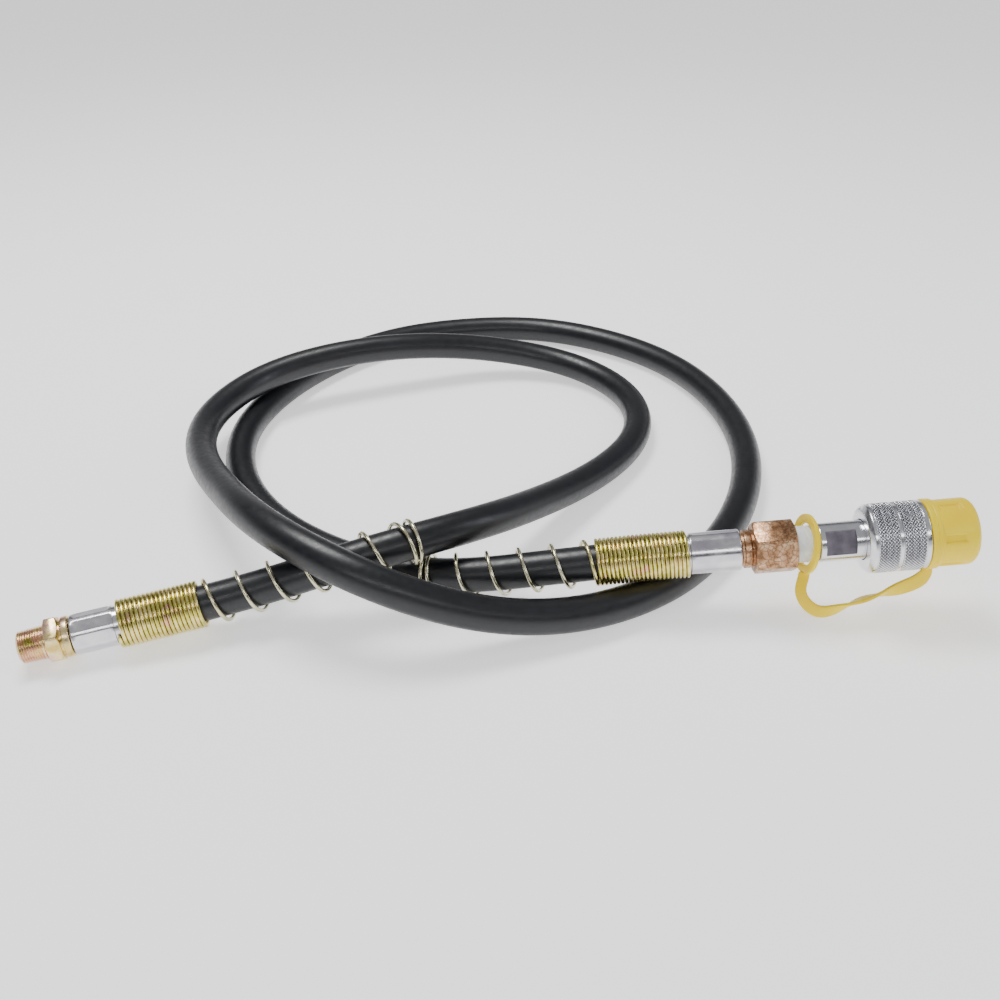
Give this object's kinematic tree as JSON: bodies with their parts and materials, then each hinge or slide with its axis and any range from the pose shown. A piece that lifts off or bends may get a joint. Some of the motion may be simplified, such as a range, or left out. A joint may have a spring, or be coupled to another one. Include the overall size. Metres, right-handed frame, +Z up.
{
  "type": "hydraulic hose assembly",
  "caption": "Rubber hydraulic hose laid in a double loop, with a male pipe fitting, a quick coupler half with a tethered dust cap, and wire spring guards.",
  "frame": {"origin": "on the floor, below the middle of the two ended fittings' bounding box (the hose itself left out)", "axes": "+X from the male pipe end to the dust cap, +Y back over the hose loops, +Z up"},
  "size_m": [0.384, 0.3299, 0.0524],
  "materials": {
    "hose_rubber": "satin black rubber cover",
    "seal_rubber": "matte black",
    "yellow_zinc": "yellow chromated zinc plate",
    "bright_zinc": "bright zinc plate",
    "steel": "bright steel",
    "copper_plate": "mottled copper-coloured plate",
    "white_tape": "soft white thread tape",
    "yellow_plastic": "soft satin yellow plastic"
  },
  "bodies": {
    "hose_and_ends": {"hose": "hose_rubber", "spring_guard_a": "yellow_zinc", "spring_guard_b": "yellow_zinc", "male_end_fitting": "yellow_zinc", "ferrule_a": "bright_zinc", "liner_end_a": "seal_rubber", "braid_end_a": "steel", "hex_end_fitting": "copper_plate", "ferrule_b": "bright_zinc", "liner_end_b": "seal_rubber", "braid_end_b": "steel", "thread_tape": "white_tape", "coupler_body": "bright_zinc", "coupler_nose": "bright_zinc", "body_seal": "seal_rubber", "nose_seal": "seal_rubber", "poppet_guide": "steel", "valve_spring": "steel"},
    "collar": {"knurled_collar": "bright_zinc", "collar_ring": "steel"},
    "poppet": {"valve_poppet": "steel", "poppet_seal": "seal_rubber"},
    "tether": {"tether_ring": "yellow_plastic", "tether_strap": "yellow_plastic"},
    "cap": {"dust_cap": "yellow_plastic"}
  },
  "joints": [
    {"name": "collar_spin", "type": "hinge", "parent": "hose_and_ends", "child": "collar", "pos_m": [0.038, 0.0134, 0.023], "axis": [0.9945, 0, 0.1045], "continuous": true},
    {"name": "poppet_travel", "type": "slide", "parent": "hose_and_ends", "child": "poppet", "axis": [-0.9945, 0, -0.1045], "range_m": [0, 0.004], "stiffness_N_per_m": 2500, "springref_m": -0.003, "deforming": ["valve_spring"]},
    {"name": "tether_swivel", "type": "hinge", "parent": "hose_and_ends", "child": "tether", "pos_m": [0.038, 0.0134, 0.023], "axis": [0.9945, 0, 0.1045], "range_deg": [-40, 60]},
    {"name": "cap_pull", "type": "slide", "parent": "tether", "child": "cap", "axis": [0.9945, 0, 0.1045], "range_m": [0, 0.026], "deforming": ["tether_strap"]}
  ]
}
